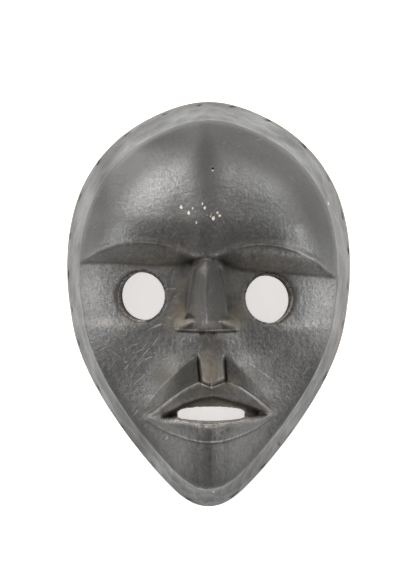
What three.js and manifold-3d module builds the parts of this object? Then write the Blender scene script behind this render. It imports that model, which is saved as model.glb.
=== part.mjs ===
// A carved wooden face mask, lying on its back: +X to its left cheek, +Y up the face, +Z out of the face.
// The origin is the middle of the outline, in the plane of the flat rim.

import * as THREE from 'three';
import { mergeVertices } from 'three/addons/utils/BufferGeometryUtils.js';
import { ConvexGeometry } from 'three/addons/geometries/ConvexGeometry.js';
import Module from 'manifold-3d';

// Driving sizes, in millimetres.
const MASK_HEIGHT = 240;
const MASK_WIDTH = 168;
const MASK_DEPTH = 87;
const RIM_THICKNESS = 7;
const FACE_THICKNESS = 8;
const EYE_HOLE = 27.5;
const TIE_HOLE = 3;
const TIE_HOLE_HEIGHT = 7;

// The carving is drawn at these sizes, and follows the driving sizes in proportion.
const DRAWN = { height: 240, width: 168, depth: 87 };
const ACROSS = MASK_WIDTH / DRAWN.width;
const ALONG = MASK_HEIGHT / DRAWN.height;
const OUT = MASK_DEPTH / DRAWN.depth;

// The egg: how full its half-width is beside an ellipse, from the chin (-1) to the crown (1).
const FULLNESS = [
  [-1, 0.592], [-0.9, 0.612], [-0.8, 0.667], [-0.6, 0.779], [-0.4, 0.875], [-0.2, 0.944],
  [0, 0.982], [0.2, 1.0205], [0.4, 1.06], [0.6, 1.096], [0.8, 1.104], [0.9, 1.064], [1, 0.953],
];

// The side wall leans in to the crest, the edge where it meets the face.
const CREST = 42;
const CREST_INSET = 0.105;
const WALL_LEAN = 1.5;

// The face, as drawn.
const FOREHEAD_RISE = 32.5;
const FOREHEAD_TUCK = 6;
const FOREHEAD_RIDGE = 2;
const EYE_PLANE_RISE = 16.5;
const CHEEK_LINE_Y = -12.5;
const CHEEK_RISE = 19.5;
const MUZZLE_RISE = 7;
const MUZZLE_LENGTH = 34;
const CHIN_RIDGE = 0.24;
const BROW_BEAD_WIDTH = 3.4;
const BROW_BEAD_RISE = 0.8;
const BROWS = [
  { inner: [-8.5, 27.3], outer: [-73.1, 24.8], arch: 9 },
  { inner: [4.2, 27.3], outer: [71.1, 17.1], arch: 11 },
];
const UNDER_BROW = [
  [-90, 20], [-73, 23.6], [-55, 23.8], [-42, 22.9], [-32.4, 22.1], [-16.4, 22.9], [-8.5, 25.3],
  [4.2, 25.3], [18.5, 19.7], [34.4, 18.1], [50.4, 17.3], [70.5, 15.8], [90, 12],
];
const EYES = [
  { at: [-38.9, 4.6], lean: [-0.27, -0.06] },
  { at: [34.9, 3.7], lean: [0.27, 0.1] },
];
const NOSE = {
  root: [-1.5, 27, 67], tip: [-1, -9.5, 87], base: [-1, -14.6, 78.5],
  feet: [[-8.2, 25, 59], [-13, -2, 60], [7.6, 20, 59], [11, 0, 60]],
  wings: [
    [-1, -6, 80], [-1, -14.6, 78.5], [-11.6, -3.4, 63], [-18.8, -8.4, 61.8], [-19.8, -12, 61.5],
    [-18.6, -13.9, 61.5], [8.5, -3, 63], [15.6, -7, 61.8], [18.3, -12, 61.5], [17.4, -13.9, 61.5],
  ],
  within: 45,
};
const NOSTRIL_NOTCHES = [
  { deep: [-6.8, -7.2, 68], foot: [[-11.6, -3.6, 61.5], [-14.8, -8.5, 61.5]] },
  { deep: [5.8, -7.4, 70], foot: [[10.6, -4.6, 63], [12.4, -8.4, 63]] },
];
const LIP_RISE = 60;
const LIP_SWEEP = 13.5;
const LIP_SLOPE = -0.05;
const LIP_MIDDLE = 0.6;
const LIP_HALF = 38.5;
const LIP_FLAT = 4.2;
const LOWER_LIP_RISE = 1;
const HEM_RISE = 1.1;
const LIP_BODY = 9;
const RECESSES = [
  {
    cheek: [[-6, -28.3], [-17.8, -39.6], [-31, -54.8], [-39.7, -64.3]],
    lip: [[-4.6, -45], [-19.7, -51.8], [-30.1, -61], [-37.4, -64.9]],
  },
  {
    cheek: [[8.8, -28.3], [18.9, -38.1], [28.6, -48.4], [39.9, -63.2]],
    lip: [[10, -45], [19.6, -49.6], [31, -56.8], [38.6, -63.4]],
  },
];
const UPPER_LIP = {
  over: [[-37.8, -64.2], [-30.1, -60.1], [-19.7, -50.8], [-5.7, -43.8], [1.6, -46.8], [10.2, -43.5],
    [16.9, -46.6], [24.8, -51.3], [32.7, -57.2], [39, -62.5]],
  under: [[-37.8, -64.6], [-24, -62.4], [-19, -60], [-13.1, -56.6], [-5.8, -53.4], [1.5, -52.1],
    [8.8, -53.4], [15.1, -55.3], [23.4, -58.1], [31.5, -61.4], [39, -62.9]],
};
const LOWER_LIP = {
  over: [[-37.8, -64.4], [-23, -65.2], [0, -65.6], [26, -64.6], [38.7, -62.7]],
  under: [[-37.8, -65], [-28.7, -71.7], [-22.5, -74.8], [-13.1, -76.9], [-5.8, -78.2], [1.5, -78.6],
    [8.8, -78], [15.1, -76.3], [25.5, -70.9], [31.8, -66.9], [38.7, -62.9]],
};
const MOUTH_HOLE = { left: -17.8, right: 20.6, top: -60.2, bottom: -65.4, arch: 2, sag: 1.5 };
const MOUTH_DEPTH = 6.5;
const TIE_HOLE_ANGLES = [
  4.8, 15.4, 26.2, 38.8, 52, 66, 80, 94, 108, 122, 135.2, 147.9, 160.3, 171.7, 181.4, 191.2, 204.6,
  217.8, 232.7, 256.5, 288.2, 306, 319.8, 339, 354.4,
];

// The inside along the middle line, before the thickness of the face is taken off.
const LINING = [
  [-120, 40], [-105, 43], [-79, 50], [-45, 59], [0, 60], [22, 60], [48, 71], [78, 65], [107, 46], [120, 40],
];

// Fineness of the facets.
const ROUND = 84;
const HOLLOW_ROUND = 48;
const WALL_HEIGHTS = [0, 7, 14, 21, 28, 35, CREST];
const FACE_RINGS = [0.97, 0.92, 0.86, 0.79, 0.72, 0.65, 0.58, 0.51, 0.44, 0.37, 0.3, 0.22, 0.12];
const HOLLOW_RINGS = [0.985, 0.955, 0.9, 0.8, 0.66, 0.5, 0.33, 0.16];

const wasm = await Module();
wasm.setup();

const clamp = (value) => Math.min(1, Math.max(0, value));
const ease = (value) => clamp(value) ** 2 * (3 - 2 * clamp(value));
const mix = (a, b, share) => a + (b - a) * share;

// Straight lines through a row of [x, y] points.
function along(points, x) {
  const rising = points[0][0] < points[points.length - 1][0] ? points : [...points].reverse();
  let i = 0;
  while (i < rising.length - 2 && x > rising[i + 1][0]) {
    i += 1;
  }
  const [x0, y0] = rising[i];
  const [x1, y1] = rising[i + 1];
  return mix(y0, y1, (x - x0) / (x1 - x0));
}

// A point a share of the way along a row of points, counted by point.
function travel(points, share) {
  const place = share * (points.length - 1);
  const i = Math.min(points.length - 2, Math.floor(place));
  return points[i].map((value, k) => mix(value, points[i + 1][k], place - i));
}

// A smooth curve through FULLNESS.
function fullness(t) {
  let i = 0;
  while (i < FULLNESS.length - 2 && t > FULLNESS[i + 1][0]) {
    i += 1;
  }
  const slope = (k) => {
    const [x0, y0] = FULLNESS[Math.max(0, k - 1)];
    const [x1, y1] = FULLNESS[Math.min(FULLNESS.length - 1, k + 1)];
    return (y1 - y0) / (x1 - x0);
  };
  const [x0, y0] = FULLNESS[i];
  const [x1, y1] = FULLNESS[i + 1];
  const step = x1 - x0;
  const s = (t - x0) / step;
  const leave = slope(i) * step - (y1 - y0);
  const arrive = slope(i + 1) * step - (y1 - y0);
  return mix(y0, y1, s) + s * (1 - s) * ((1 - s) * leave - s * arrive);
}

// The outline as drawn, by its angle round the egg.
function outline(angle) {
  const t = Math.sin(angle);
  return [(DRAWN.width / 2) * fullness(t) * Math.cos(angle), (DRAWN.height / 2) * t];
}

// How far a point is on the way from the middle (0) to the outline (1).
function reach(x, y) {
  const up = (2 * y) / DRAWN.height;
  let full = 1;
  let side = 0;
  for (let i = 0; i < 12; i += 1) {
    side = (2 * x) / (DRAWN.width * full);
    full = fullness(Math.sin(Math.atan2(up, side)));
  }
  return Math.hypot(side, up);
}

// The same on the way to the crest.
const toCrest = (x, y) => reach(x, y) / (1 - CREST_INSET);

// How wide the side wall still is at a height above the rim.
const wallAt = (z) => 1 - CREST_INSET * (z / CREST) ** WALL_LEAN;

// Height of the forehead: a soft ridge up its middle, and a tuck towards the brows.
function forehead(x, y) {
  const share = 1 - toCrest(x, y) ** 4;
  const tuck = FOREHEAD_TUCK * ease((50 - y) / 24) * clamp(share * 4);
  const middle = FOREHEAD_RIDGE * Math.exp(-(((x + 2) / mix(8, 14, clamp((y - 40) / 50))) ** 2));
  return CREST + share * (FOREHEAD_RISE - 1 - tuck + middle);
}

// Height of the eye plane, and below the cheek line of cheeks, muzzle and chin.
function lowerFace(x, y) {
  const share = Math.min(1, toCrest(x, y));
  if (y >= CHEEK_LINE_Y) {
    const rise = mix(CHEEK_RISE, EYE_PLANE_RISE, (y - CHEEK_LINE_Y) / (22 - CHEEK_LINE_Y));
    return CREST + rise * (1 - share ** 2.5);
  }
  const down = ease((CHEEK_LINE_Y - y) / MUZZLE_LENGTH);
  const roundness = mix(2.5, 3.4 - 1.2 * clamp(Math.abs(x) / 35), down);
  const rise = CHEEK_RISE + MUZZLE_RISE * down * Math.exp(-((x / 42) ** 2));
  const middle = CHIN_RIDGE * down * (6 - Math.hypot(x, 4));
  return CREST + rise * (1 - share ** roundness) + middle * (1 - share ** 2);
}

// The lips are swept back from a middle that may be flat.
function lipHeight(x, flat = 0) {
  const side = Math.max(0, Math.abs(x - LIP_MIDDLE) - flat) / (LIP_HALF - flat);
  return LIP_RISE - LIP_SWEEP * side ** 1.5;
}

// The arched line of the brows.
function browLine(x) {
  const [left, right] = BROWS;
  if (x > left.inner[0] && x < right.inner[0]) {
    return left.inner[1];
  }
  const brow = x < 0 ? left : right;
  const t = clamp((x - brow.inner[0]) / (brow.outer[0] - brow.inner[0]));
  return mix(brow.inner[1], brow.outer[1], t) + brow.arch * 4 * t * (1 - t);
}

// A closed geometry as a solid, with its faces turned outwards.
function solid(geometry) {
  const bare = geometry.clone();
  bare.deleteAttribute('normal');
  bare.deleteAttribute('uv');
  const merged = mergeVertices(bare, 1e-4);
  const vertices = merged.attributes.position.array;
  const corners = Array.from(merged.index.array);
  const triangles = [];
  let volume = 0;
  for (let i = 0; i < corners.length; i += 3) {
    const [a, b, c] = corners.slice(i, i + 3);
    if (a !== b && b !== c && c !== a) {
      triangles.push(a, b, c);
      const [p, q, r] = [a, b, c].map((k) => new THREE.Vector3().fromArray(vertices, 3 * k));
      volume += p.dot(q.cross(r));
    }
  }
  const triVerts = Uint32Array.from(volume < 0 ? triangles.reverse() : triangles);
  return new wasm.Manifold(new wasm.Mesh({ numProp: 3, vertProperties: vertices, triVerts }));
}

// Moves every vertex of a geometry.
function reshape(geometry, place) {
  const position = geometry.attributes.position;
  for (let i = 0; i < position.count; i += 1) {
    position.setXYZ(i, ...place(position.getX(i), position.getY(i), position.getZ(i)));
  }
  return solid(geometry);
}

// A drawn point at the real size.
const real = ([x, y, z]) => [x * ACROSS, y * ALONG, z * OUT];

// A block bent to place(u, v, w), where w is 0 underneath and 1 on top.
function block(columns, rows, place) {
  const box = new THREE.BoxGeometry(1, 1, 1, columns, rows, 1);
  return reshape(box, (x, y, z) => real(place(x + 0.5, y + 0.5, z + 0.5)));
}

// A profile of [share of the outline, height] turned round the egg.
function turned(profile, round, place) {
  const lathe = new THREE.LatheGeometry(profile.map(([share, z]) => new THREE.Vector2(share, z)), round);
  return reshape(lathe, (x, z, y) => place(Math.hypot(x, y), Math.atan2(y, x), z));
}

// The hull of drawn points, let down to a depth inside the wood.
function hull(points, depth) {
  const ends = points.flatMap(([x, y, z]) => [[x, y, z], [x, y, depth]]);
  return solid(new ConvexGeometry(ends.map((point) => new THREE.Vector3(...real(point)))));
}

// A straight round drill, through a real point and along a real direction.
function drill(diameter, length, sides, point, direction) {
  const cylinder = new THREE.CylinderGeometry(diameter / 2, diameter / 2, length, sides);
  const turn = new THREE.Quaternion();
  turn.setFromUnitVectors(new THREE.Vector3(0, 1, 0), new THREE.Vector3(...direction).normalize());
  return solid(cylinder.applyQuaternion(turn).translate(...point));
}

// The whole egg: its leaning side wall up to the crest, and over that a face of the given height.
function body(height) {
  const wall = WALL_HEIGHTS.map((z) => [wallAt(z), z]);
  const over = [...FACE_RINGS, 0].map((share) => [share * (1 - CREST_INSET), CREST + 1]);
  return turned([[0, 0], ...wall, ...over], ROUND, (share, angle, z) => {
    const [x, y] = outline(angle).map((value) => value * share);
    return real([x, y, z > CREST ? height(x, y) : z]);
  });
}

// Under the brows the forehead slopes down to the eye plane, and fades out at their outer ends.
const underBrow = block(60, 2, (u, v, w) => {
  const x = mix(-92, 92, u);
  const low = along(UNDER_BROW, x);
  const high = Math.max(browLine(x), low + 1.2);
  const steep = Math.max(1, (forehead(x, high) - lowerFace(x, low)) / (high - low));
  const y = v === 1 ? DRAWN.height : mix(low - 2, high + 3, 2 * v);
  const slope = lowerFace(x, low) + steep * (y - low);
  const top = v === 1 ? 2 * DRAWN.depth : slope;
  return [x, y, w ? top : -6];
});

let mask = body(lowerFace).add(body(forehead).intersect(underBrow));

// The raised line along each brow.
for (const brow of BROWS) {
  const bead = block(20, 2, (u, v, w) => {
    const x = mix(brow.inner[0], brow.outer[0], mix(0.03, 0.93, u));
    const y = browLine(x) + 0.5 + v * BROW_BEAD_WIDTH;
    const swell = Math.min(1, 8 * u, 8 * (1 - u));
    const rise = BROW_BEAD_RISE * swell * (v === 0.5 ? 1 : 0.35) - 0.3 * (1 - swell);
    return [x, y, w ? forehead(x, y) + rise : forehead(x, y) - 3];
  });
  mask = mask.add(bead);
}

// The nose: a sharp bridge, two wings, and a notch over each nostril.
const footed = (foot, ridge) => foot.map((value, k) => mix(ridge[k], value, 1.25));
const bridge = hull([NOSE.root, NOSE.tip, NOSE.base,
  footed(NOSE.feet[0], NOSE.root), footed(NOSE.feet[1], NOSE.tip),
  footed(NOSE.feet[2], NOSE.root), footed(NOSE.feet[3], NOSE.tip)], NOSE.within);
mask = mask.add(bridge).add(hull(NOSE.wings, NOSE.within));
for (const notch of NOSTRIL_NOTCHES) {
  mask = mask.subtract(hull([notch.deep, ...notch.foot], DRAWN.depth + 3));
}

// The sunken planes between cheeks and lip, which leave the groove of the upper lip standing.
for (const recess of RECESSES) {
  mask = mask.subtract(block(6, 1, (u, v, w) => {
    const outer = travel(recess.cheek, u);
    const inner = travel(recess.lip, u);
    const [x, y] = v ? inner : outer;
    const floor = v ? lipHeight(x) - 1 : lowerFace(...outer) - 0.3;
    return [x, y, w ? DRAWN.depth + 3 : floor];
  }));
}

// The lips, as two bands round the muzzle.
function lip(shape, height) {
  return block(20, 1, (u, v, w) => {
    const x = mix(shape.over[0][0], shape.over[shape.over.length - 1][0], u);
    const low = along(shape.under, x);
    const high = along(shape.over, x);
    return [x, v ? high : low, height(x, low, high, v) - (w ? 0 : LIP_BODY)];
  });
}
mask = mask.add(lip(UPPER_LIP, (x, low, high, v) => lipHeight(x) - LIP_SLOPE * (high - low) * v));
mask = mask.add(lip(LOWER_LIP, (x, low, high, v) => (
  v ? lipHeight(x, LIP_FLAT) + LOWER_LIP_RISE : lowerFace(x, low) + HEM_RISE)));

// The mouth: a sunken almond between the lips, and the opening through it.
mask = mask.subtract(block(20, 1, (u, v, w) => {
  const x = mix(UPPER_LIP.under[1][0] - 9, UPPER_LIP.under[9][0] + 3, u);
  const roof = along(UPPER_LIP.under, x);
  const sill = along(LOWER_LIP.over, x);
  const level = w ? lipHeight(x) + 6 : lipHeight(x) - MOUTH_DEPTH;
  const lean = Math.max(0, roof - MOUTH_HOLE.top) * (w ? 0.3 : 1);
  return [x, v ? roof - lean + (w ? 0.4 : 0) : sill - 0.3, level];
}));
mask = mask.subtract(block(8, 1, (u, v, w) => {
  const bow = 4 * u * (1 - u);
  const x = mix(MOUTH_HOLE.left + 1.5 * v, MOUTH_HOLE.right - 1.5 * v, u);
  const y = v ? MOUTH_HOLE.top + MOUTH_HOLE.arch * bow : MOUTH_HOLE.bottom - MOUTH_HOLE.sag * bow;
  return [x, y, w ? DRAWN.depth + 3 : 20];
}));

// The hollow behind the face, which leaves the rim and the face at their own thickness.
function lining(x, y) {
  const middle = along(LINING, y);
  return CREST + (middle - CREST) * (1 - clamp(toCrest(x, y)) ** 2);
}
const innerAcross = (MASK_WIDTH - 2 * RIM_THICKNESS) / MASK_WIDTH;
const innerAlong = (MASK_HEIGHT - 2 * RIM_THICKNESS) / MASK_HEIGHT;
const hollow = turned(
  [[0, -2], [1, -2], [1, 2], ...HOLLOW_RINGS.map((share) => [share, CREST]), [0, CREST]],
  HOLLOW_ROUND,
  (share, angle, z) => {
    const x = outline(angle)[0] * share * innerAcross;
    const y = outline(angle)[1] * share * innerAlong;
    const dome = (lining(x, y) * OUT - FACE_THICKNESS) * Math.sqrt(1 - share ** 8);
    return [x * ACROSS, y * ALONG, z > 2 ? dome : z];
  },
);
mask = mask.subtract(hollow);

// The round eyes, leaning outwards with the eye planes.
for (const eye of EYES) {
  const [x, y] = eye.at;
  const point = real([x, y, lowerFace(x, y)]);
  mask = mask.subtract(drill(EYE_HOLE, 0.6 * MASK_DEPTH, 32, point, [...eye.lean, 1]));
}

// Small holes round the rim, square to the side wall.
for (const degrees of TIE_HOLE_ANGLES) {
  const angle = THREE.MathUtils.degToRad(degrees);
  const [x, y] = outline(angle);
  const [nextX, nextY] = outline(angle + 0.01);
  const outwards = [(nextY - y) * ALONG, (x - nextX) * ACROSS, 0];
  const inset = 1 - RIM_THICKNESS / MASK_WIDTH;
  const point = [x * ACROSS * inset, y * ALONG * inset, TIE_HOLE_HEIGHT];
  mask = mask.subtract(drill(TIE_HOLE, 3.4 * RIM_THICKNESS, 8, point, outwards));
}

const { vertProperties, triVerts } = mask.getMesh();
const geometry = new THREE.BufferGeometry();
geometry.setAttribute('position', new THREE.BufferAttribute(vertProperties, 3));
geometry.setIndex(new THREE.BufferAttribute(triVerts, 1));
geometry.computeVertexNormals();

const wood = new THREE.MeshStandardMaterial({ color: 0x3f3a35, roughness: 0.42, metalness: 0 });
const face = new THREE.Mesh(geometry, wood);
face.name = 'mask';

const part = new THREE.Group();
part.add(face);

export default part;
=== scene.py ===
"""A carved wooden face mask lying on its back, seen from above.

The carving is drawn in millimetres from the middle of the outline: x to the
right of the picture, y up the face, z out of the face from the rim's plane.
"""

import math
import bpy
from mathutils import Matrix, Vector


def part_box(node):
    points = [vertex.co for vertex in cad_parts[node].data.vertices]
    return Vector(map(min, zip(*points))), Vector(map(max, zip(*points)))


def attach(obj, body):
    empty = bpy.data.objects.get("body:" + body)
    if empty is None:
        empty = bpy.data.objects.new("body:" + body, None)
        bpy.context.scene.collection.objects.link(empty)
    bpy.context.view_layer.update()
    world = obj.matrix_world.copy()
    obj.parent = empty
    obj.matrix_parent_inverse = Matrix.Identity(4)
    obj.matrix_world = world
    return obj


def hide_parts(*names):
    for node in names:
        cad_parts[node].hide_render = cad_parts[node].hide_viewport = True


bl_info = {
    "name": "Carved Face Mask",
    "version": (1, 0, 0),
    "blender": (4, 5, 0),
    "location": "3D View > Sidebar > Mask",
    "description": "Builds a carved wooden face mask, its patina and a pale studio floor",
    "category": "Add Mesh",
}

import bmesh
import bpy
import numpy as np
from bpy.props import FloatProperty, FloatVectorProperty, IntProperty, PointerProperty
from mathutils import Matrix, Vector, noise

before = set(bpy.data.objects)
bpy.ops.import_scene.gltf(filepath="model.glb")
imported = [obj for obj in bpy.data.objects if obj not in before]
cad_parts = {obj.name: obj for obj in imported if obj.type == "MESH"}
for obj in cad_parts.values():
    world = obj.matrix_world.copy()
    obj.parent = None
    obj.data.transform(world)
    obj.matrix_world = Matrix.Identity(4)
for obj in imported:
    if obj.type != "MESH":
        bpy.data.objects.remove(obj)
LOW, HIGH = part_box("mask")
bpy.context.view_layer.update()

# The carving is drawn at these sizes, and follows the frame's box in proportion.
DRAWN = (168.0, 240.0, 87.0)
SCALE = [(HIGH[k] - LOW[k]) / DRAWN[k] for k in range(3)]

# The egg, its leaning side wall and the crest where the wall meets the face.
FULLNESS = [
    (-1, 0.592), (-0.9, 0.612), (-0.8, 0.667), (-0.6, 0.779), (-0.4, 0.875), (-0.2, 0.944),
    (0, 0.982), (0.2, 1.0205), (0.4, 1.06), (0.6, 1.096), (0.8, 1.104), (0.9, 1.064), (1, 0.953),
]
CREST = 42.0
CREST_INSET = 0.105
WALL_LEAN = 1.1
# Share of the front grid that the face takes, and where its cells are drawn together.
FACE_SHARE = 0.70
GRID_PULLS = ((0, -56, 24, 0.42), (-1, 0, 24, 0.30))
CREST_SMOOTHING = 2.5
# Height of the rim's rounded corner, and how far its two rings stand in.
RIM_CORNER = 0.35
RIM_INSETS = (0.003, 0.011)
# Width and height of the blade's cuts on the side wall and in the hollow.
WALL_CUT = (11, 17)
HOLLOW_CUT = (10, 15)
HOLLOW_CUT_DEPTH = 0.5

# The face.
FOREHEAD_RISE = 32.5
FOREHEAD_TUCK = 6.0
FOREHEAD_RIDGE = 2.0
EYE_PLANE_RISE = 16.5
CHEEK_LINE_Y = -12.5
CHEEK_RISE = 19.5
MUZZLE_RISE = 7.0
MUZZLE_LENGTH = 34.0
CHIN_RIDGE = 0.34
LEFT_BROW = {"inner": (-8.5, 27.3), "outer": (-73.1, 24.8), "arch": 9.0}
RIGHT_BROW = {"inner": (4.2, 27.3), "outer": (71.1, 17.1), "arch": 11.0}
UNDER_BROW = [
    (-90, 20), (-73, 23.6), (-55, 23.8), (-42, 22.9), (-32.4, 22.1), (-16.4, 22.9), (-8.5, 25.3),
    (4.2, 25.3), (18.5, 19.7), (34.4, 18.1), (50.4, 17.3), (70.5, 15.8), (90, 12),
]
LEFT_WING = [(-11.6, -3.4), (-18.8, -8.4), (-19.9, -12), (-18.6, -15.5), (0, -16), (0, -2)]
RIGHT_WING = [(8.5, -3), (0, -2), (0, -16), (17.4, -15.5), (18.4, -12), (15.6, -7)]
NOSTRILS = [
    [(-6.8, -7.2), (-11.6, -3.6), (-14.8, -8.5)],
    [(5.8, -7.4), (12.4, -8.4), (10.6, -4.6)],
]
NOSE_TIP_ROUNDING = 0.35
NOSE_BASE_Y = -13.9
NOSE_BASE_SAG = 0.7
EYES = [
    {"at": (-38.9, 4.6), "lean": (-0.27, -0.06)},
    {"at": (34.9, 3.7), "lean": (0.27, 0.1)},
]
LEFT_RECESS = [
    (-39.4, -63.8), (-36, -58.8), (-32.1, -53.2), (-26.9, -46.9), (-20.5, -40.4), (-13.4, -33.8),
    (-6, -28.1),
]
RIGHT_RECESS = [
    (8.6, -28.3), (15.1, -33.7), (20.3, -38.4), (26.1, -44.1), (31.2, -50.4), (34.4, -54.9),
    (37.7, -60), (39.7, -62.8),
]
UPPER_LIP_OVER = [
    (-38, -64.3), (-32.1, -61.9), (-28.9, -59.3), (-20.5, -52.7), (-15.5, -49.2), (-10.8, -46.4),
    (-5.6, -44.1), (1.4, -47), (9.9, -44), (13.8, -45), (18.3, -47.1), (26.7, -52.9),
    (31.2, -56.3), (35.8, -60.6), (39, -62.6),
]
UPPER_LIP_UNDER = [
    (-38, -64.9), (-31, -65.1), (-27.4, -64.6), (-24.4, -62.2), (-19.2, -59.4), (-14.7, -56.8),
    (-9.5, -54.6), (-3, -52.8), (2.2, -52), (7.3, -52.8), (15.1, -55.2), (22.8, -57.5),
    (27.4, -59.4), (31, -61.2), (33.6, -63.8), (36, -63.6), (39, -63.2),
]
LOWER_LIP_OVER = [
    (-37.8, -64.6), (-30, -65), (-23.1, -65.7), (-17.2, -66.6), (-6.3, -68.1), (0.9, -68.5),
    (9.9, -67.8), (18.3, -66.6), (27.4, -65), (33, -63.9), (38.7, -62.7),
]
LOWER_LIP_UNDER = [
    (-38, -64.7), (-33.4, -67.4), (-28.2, -70.4), (-21.8, -73.4), (-16, -75.3), (-10.8, -76.8),
    (-4.3, -78), (2.2, -78.2), (7.3, -77.8), (13.8, -76.2), (20.3, -73.9), (26.1, -71.3),
    (31.2, -68.1), (35.8, -64.8), (39, -62.8),
]
PHILTRUM = {"x": 1.4, "half": 7.2, "roof": 0.9, "end": -42.1, "point": 3}
PHILTRUM_Y = (-45, -28.3)
LIP_RISE = 60.0
LIP_SWEEP = 13.5
LIP_SLOPE = -0.22
LIP_MIDDLE = 0.6
LIP_HALF = 38.5
LIP_FLAT = 4.2
LOWER_LIP_RISE = 1.0
MOUTH_HOLE = {"left": -17.8, "right": 20.6, "top": -60.2, "bottom": -65.4, "arch": 2.0, "sag": 1.5}
MOUTH_DEPTH = 6.5
EYE_REACH = 15.3
EYE_RUBBING = 0.9
EYE_PLANE_Z = 58
TOOL_LENGTHS = {"eye": 50, "tie_hole": 24}
NAIL_HOLE = {"at": (3.1, 77.3, 70), "lean": (0.2, 0, 1), "wide": 1.7, "long": 12}
# Specks of white clay: x, y and size.
FLECKS = [
    (-15.6, 55.3, 0.9), (-11.3, 51.9, 0.7), (-9.2, 55.1, 0.6), (-2.2, 54.6, 0.7), (-7.2, 46.8, 0.8),
    (5, 52.4, 0.6), (2.6, 48.7, 0.8), (2.6, -108, 0.8), (69.9, 60.2, 0.8), (1.2, 50.6, 0.5),
    (-5.4, 52.6, 0.5), (-3.6, 57.3, 0.4), (6.2, 50.2, 0.5), (4.4, 54.8, 0.4), (-13.4, 49.3, 0.4),
    (69.6, 58.3, 1.2), (55.5, -5.1, 0.5),
    (-4.3, 20.4, 0.4), (-3.9, 21.9, 0.4), (-3.2, 18.6, 0.3), (1.5, -46.8, 0.8), (2.3, 76.2, 0.8),
    (4.2, 75.9, 0.5),
]
# Soft patches, each with its middle, strength, width and height: darker places near the outline,
# painted shade on the face that also dulls it, painted highlights and pale places of the face,
# pale places of the wall, scratched places and brown ones.
DARKER_NEAR_OUTLINE = [
    ((-8, 118), 0.3, 34, 10), ((-60, 74), 0.45, 12, 24), ((58, 76), 0.1, 10, 20),
    ((-44, -84), 0.45, 14, 18), ((-20, -114), 0.3, 16, 14), ((30, -96), 0.25, 14, 16),
    ((-74, 34), 0.25, 8, 44), ((66, 52), 0.25, 8, 24),
]
# Also painted shade on the sunken planes beside the lip and on the bridge of the nose.
# Painted shade that also dulls the wood: on the middle, top and edges of the forehead.
PAINTED_SHADE = [
    ((-28.5, -41), 0.35, 6, 9), ((30, -40), 0.25, 6, 8), ((-1.2, 7), 0.6, 1.1, 13),
    ((-2, 84), 0.58, 10, 36), ((-28, 95), 0.62, 34, 14), ((20, 98), 0.45, 26, 12),
    ((-62, 66), 0.55, 11, 30), ((62, 64), 0.2, 8, 26),
]
# Painted highlights on the forehead, the cheek lines, the outer eye planes and the nose's root.
# Painted light under the nose, and one pale place beside the groove of the lip.
PAINTED_HIGHLIGHTS_AND_PALE = [
    ((-3, 21), 0.3, 2.5, 4), ((0.4, -16.8), 0.4, 6, 2), ((13, -43), 0.12, 3, 5),
    ((-58, -10), 0.4, 14, 3), ((56, -11), 0.3, 17, 3), ((-70, 8), 0.22, 7, 14),
    ((68, 2), 0.22, 7, 15), ((-27, 62), 0.1, 14, 20), ((17, 64), 0.07, 10, 20),
]
PALE_WALL = [((84, 5), 0.15, 14, 60), ((32, -92), 0.15, 14, 16)]
SCRATCHED = [((-42, -27), 0.9, 14, 13), ((52, -22), 0.5, 16, 18), ((-62, 8), 0.5, 10, 16)]
WARM = [
    ((-13, 8), 0.8, 5, 14), ((13, 4), 0.75, 5, 13), ((-17, -8), 0.6, 7, 8), ((17, -8), 0.6, 7, 8),
    ((-27, 24), 0.5, 26, 5), ((30, 22), 0.35, 24, 5), ((-25, -41), 0.45, 10, 9),
    ((26, -40), 0.3, 9, 8), ((0, -57), 0.5, 22, 4), ((13, -43), 0.7, 5, 7), ((26, -62), 0.6, 8, 3),
]
WARM_PHILTRUM = [((1.4, -36), 0.9, 8, 11)]
# Single scratches: both ends and the strength.
SCRATCHES = [
    ((1.4, -41), (1.7, -47.2), 0.5), ((-25.3, -77.8), (-23.3, -75.8), 0.8),
    ((-23.4, -75.9), (-24.3, -74.5), 0.8), ((-24.8, 9.1), (-18.3, 9.3), 0.3),
    ((4.7, -72.3), (12.3, -69.2), 0.35),
    ((12, -69.3), (19.8, -68.4), 0.35), ((23, -33), (38.4, -44.2), 0.35),
    ((-45.8, -40.4), (-36.4, -30.2), 0.3), ((-48.6, -37.6), (-41, -28.4), 0.35),
    ((-43, -46), (-34.2, -37.6), 0.3), ((-39.6, -27), (-33.8, -20.4), 0.3),
    ((48, -6.4), (62, -6.9), 0.12), ((-70, 12.8), (-58, 13.4), 0.12),
    ((44, 11.2), (66, 10.4), 0.12),
]
LINE_REACH = 1.8
LINE_SCALE = 8.0
TIE_HOLE_ANGLES = [
    4.8, 15.4, 26.2, 38.8, 52, 66, 80, 94, 108, 122, 135.2, 147.9, 160.3, 171.7, 181.4, 191.2,
    204.6, 217.8, 232.7, 256.5, 288.2, 306, 319.8, 339, 354.4,
]
LINING = [
    (-120, 40), (-105, 43), (-79, 50), (-45, 59), (0, 60), (22, 60), (48, 71), (78, 65), (107, 46),
    (120, 40),
]

# The wood: how much each pattern tints it, raises it and makes it rougher or less glossy.
SCRATCH_TURNS = ((-0.7, 520), (-1.15, 640), (0.9, 840))
TINTS = {"blotches": 0.4, "wall_blotches": 0.35, "mottling": 0.04, "grain": 0.07, "scratches": 0.22}
BLOTCH_DARKNESS = 0.7
RELIEF = {"Grain": 0.35, "Mottling": 1.5, "Scratches": -0.5, "Pores": -0.4}
NODES_IN_ROW = 12
RELIEF_STRENGTH = 0.6
RELIEF_DEPTH = 0.0004
ROUGHER = {"dirt_and_shade": 0.25, "hollow": 0.3, "dull": 0.2}
GLOSS = (0.7, 0.15)
WALL_GLOSS_LOSS = 0.25

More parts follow.
